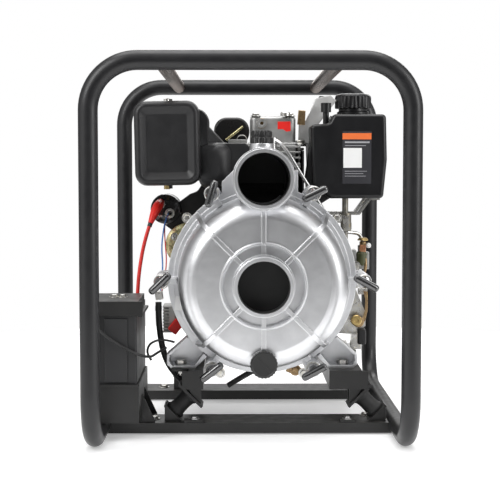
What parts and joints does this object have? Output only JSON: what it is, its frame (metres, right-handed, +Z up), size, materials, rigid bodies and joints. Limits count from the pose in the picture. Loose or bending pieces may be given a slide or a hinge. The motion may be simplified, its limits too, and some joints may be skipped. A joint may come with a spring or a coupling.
{
  "type": "diesel engine trash pump",
  "caption": "Open-frame three-inch trash pump: air-cooled diesel engine, cast pump with two front ports, battery and tube roll frame.",
  "frame": {"origin": "middle of the tube frame's footprint, on the ground", "axes": "+Z up, -Y towards the side with the two hose ports, +X to the right as seen from that side"},
  "size_m": [0.486, 0.608, 0.576],
  "materials": {
    "frame_black": "satin powder coat",
    "bed_black": "satin paint",
    "mount_rubber": "matte",
    "zinc_steel": "zinc plated",
    "battery_case": "fine grain",
    "cast_aluminium": "satin cast",
    "engine_aluminium": "sand cast",
    "gasket": "matte",
    "cast_iron": "machined",
    "machined_steel": "machined",
    "handle_plastic": "gloss",
    "cap_plastic": "satin",
    "flap_rubber": "matte",
    "sheet_black": "satin paint",
    "muffler_black": "heat resistant paint",
    "housing_plastic": "satin moulded",
    "filter_foam": "open foam",
    "tank_plastic": "satin gloss",
    "red_plastic": "satin",
    "brass_fitting": "dull",
    "starter_steel": "satin",
    "red_cable": "satin",
    "black_sleeve": "satin",
    "blue_wire": "satin"
  },
  "bodies": {
    "pump_set": {"front_hoop": "frame_black", "rear_hoop": "frame_black", "top_stringers": "frame_black", "crossmembers": "bed_black", "rubber_mounts": "mount_rubber", "bed_rails": "bed_black", "base_fasteners": "zinc_steel", "battery_tray": "bed_black", "battery": "battery_case", "battery_hold_down": "bed_black", "pump_casing": "cast_aluminium", "pump_cover": "cast_aluminium", "cover_gasket": "gasket", "volute_insert": "cast_iron", "shaft_seal": "machined_steel", "cover_studs": "zinc_steel", "pump_adapter": "engine_aluminium", "crankcase": "engine_aluminium", "cylinder": "cast_iron", "cylinder_head": "engine_aluminium", "rocker_cover": "engine_aluminium", "fan_shroud": "sheet_black", "recoil_housing": "sheet_black", "muffler": "muffler_black", "air_cleaner_base": "housing_plastic", "air_cleaner_cover": "housing_plastic", "air_filter": "filter_foam", "fuel_tank": "tank_plastic", "tank_bracket": "zinc_steel", "fuel_tap": "brass_fitting", "injection_pump": "engine_aluminium", "injector_pipe": "machined_steel", "fuel_hose": "black_sleeve", "control_bracket": "zinc_steel", "starter_motor": "starter_steel", "voltage_regulator": "engine_aluminium", "battery_cable": "red_cable", "wiring_harness": "black_sleeve", "ground_cable": "black_sleeve", "control_wire": "blue_wire"},
    "nut_1": {"handle_nut_1": "handle_plastic"},
    "nut_2": {"handle_nut_2": "handle_plastic"},
    "nut_3": {"handle_nut_3": "handle_plastic"},
    "nut_4": {"handle_nut_4": "handle_plastic"},
    "nut_5": {"handle_nut_5": "handle_plastic"},
    "nut_6": {"handle_nut_6": "handle_plastic"},
    "filler_cap": {"filler_cap": "cap_plastic"},
    "drain_cap": {"drain_cap": "cap_plastic"},
    "tank_cap": {"tank_cap": "tank_plastic"},
    "suction_flap": {"suction_flap": "flap_rubber"},
    "rotor": {"impeller": "cast_iron", "crankshaft": "machined_steel", "flywheel": "cast_iron"},
    "camshaft": {"camshaft": "machined_steel"},
    "piston": {"piston": "engine_aluminium"},
    "decompression_lever": {"decompression_lever": "red_plastic"},
    "speed_lever": {"speed_lever": "brass_fitting"},
    "fuel_tap_lever": {"fuel_tap_lever": "zinc_steel"},
    "recoil_handle": {"recoil_handle": "handle_plastic"},
    "recoil_pulley": {"recoil_pulley": "housing_plastic"}
  },
  "joints": [
    {"name": "nut_1_turn", "type": "hinge", "parent": "pump_set", "child": "nut_1", "pos_m": [0.176, -0.175, 0.237], "axis": [0, -1, 0], "range_deg": [0, 810]},
    {"name": "nut_2_turn", "type": "hinge", "parent": "pump_set", "child": "nut_2", "pos_m": [0.098, -0.175, 0.3721], "axis": [0, -1, 0], "range_deg": [0, 810]},
    {"name": "nut_3_turn", "type": "hinge", "parent": "pump_set", "child": "nut_3", "pos_m": [-0.058, -0.175, 0.3721], "axis": [0, -1, 0], "range_deg": [0, 810]},
    {"name": "nut_4_turn", "type": "hinge", "parent": "pump_set", "child": "nut_4", "pos_m": [-0.136, -0.175, 0.237], "axis": [0, -1, 0], "range_deg": [0, 810]},
    {"name": "nut_5_turn", "type": "hinge", "parent": "pump_set", "child": "nut_5", "pos_m": [-0.058, -0.175, 0.1019], "axis": [0, -1, 0], "range_deg": [0, 810]},
    {"name": "nut_6_turn", "type": "hinge", "parent": "pump_set", "child": "nut_6", "pos_m": [0.098, -0.175, 0.1019], "axis": [0, -1, 0], "range_deg": [0, 810]},
    {"name": "filler_cap_turn", "type": "hinge", "parent": "pump_set", "child": "filler_cap", "pos_m": [0.017, -0.205, 0.45], "axis": [0, 0, 1], "range_deg": [0, 450]},
    {"name": "drain_cap_turn", "type": "hinge", "parent": "pump_set", "child": "drain_cap", "pos_m": [0.02, -0.225, 0.122], "axis": [0, -1, 0], "range_deg": [0, 450]},
    {"name": "tank_cap_turn", "type": "hinge", "parent": "pump_set", "child": "tank_cap", "pos_m": [0.176, 0.06, 0.515], "axis": [0, 0, 1], "range_deg": [0, 90]},
    {"name": "suction_flap_swing", "type": "hinge", "parent": "pump_set", "child": "suction_flap", "pos_m": [0.02, -0.2, 0.287], "axis": [1, 0, 0], "range_deg": [0, 28]},
    {"name": "rotor_spin", "type": "hinge", "parent": "pump_set", "child": "rotor", "pos_m": [0.02, 0, 0.237], "axis": [0, -1, 0], "continuous": true},
    {"name": "camshaft_spin", "type": "hinge", "parent": "pump_set", "child": "camshaft", "pos_m": [0.0515, 0, 0.18244], "axis": [0, -1, 0], "continuous": true},
    {"name": "piston_stroke", "type": "slide", "parent": "pump_set", "child": "piston", "axis": [0, 0, -1], "range_m": [0, 0.062]},
    {"name": "decompression_lever_lift", "type": "hinge", "parent": "pump_set", "child": "decompression_lever", "pos_m": [0.0215, 0.005, 0.485], "axis": [0, -1, 0], "range_deg": [0, 60]},
    {"name": "speed_lever_swing", "type": "hinge", "parent": "pump_set", "child": "speed_lever", "pos_m": [0.181, 0.005, 0.158], "axis": [0, -1, 0], "range_deg": [-10, 30]},
    {"name": "fuel_tap_turn", "type": "hinge", "parent": "pump_set", "child": "fuel_tap_lever", "pos_m": [0.158, -0.02, 0.33], "axis": [0, -1, 0], "range_deg": [0, 90]},
    {"name": "recoil_pull", "type": "slide", "parent": "pump_set", "child": "recoil_handle", "axis": [0.6157, 0, 0.788], "range_m": [0, 0.3], "stiffness_N_per_m": 30, "springref_m": -0.2},
    {"name": "recoil_pulley_turn", "type": "hinge", "parent": "pump_set", "child": "recoil_pulley", "pos_m": [0.02, 0.212, 0.237], "axis": [0, 1, 0], "range_deg": [0, 405]}
  ],
  "couplings": [
    {"joint": "camshaft_spin", "follows": "rotor_spin", "ratio": -0.5},
    {"joint": "recoil_pulley_turn", "follows": "recoil_pull", "rad_per_m": 23.256}
  ]
}
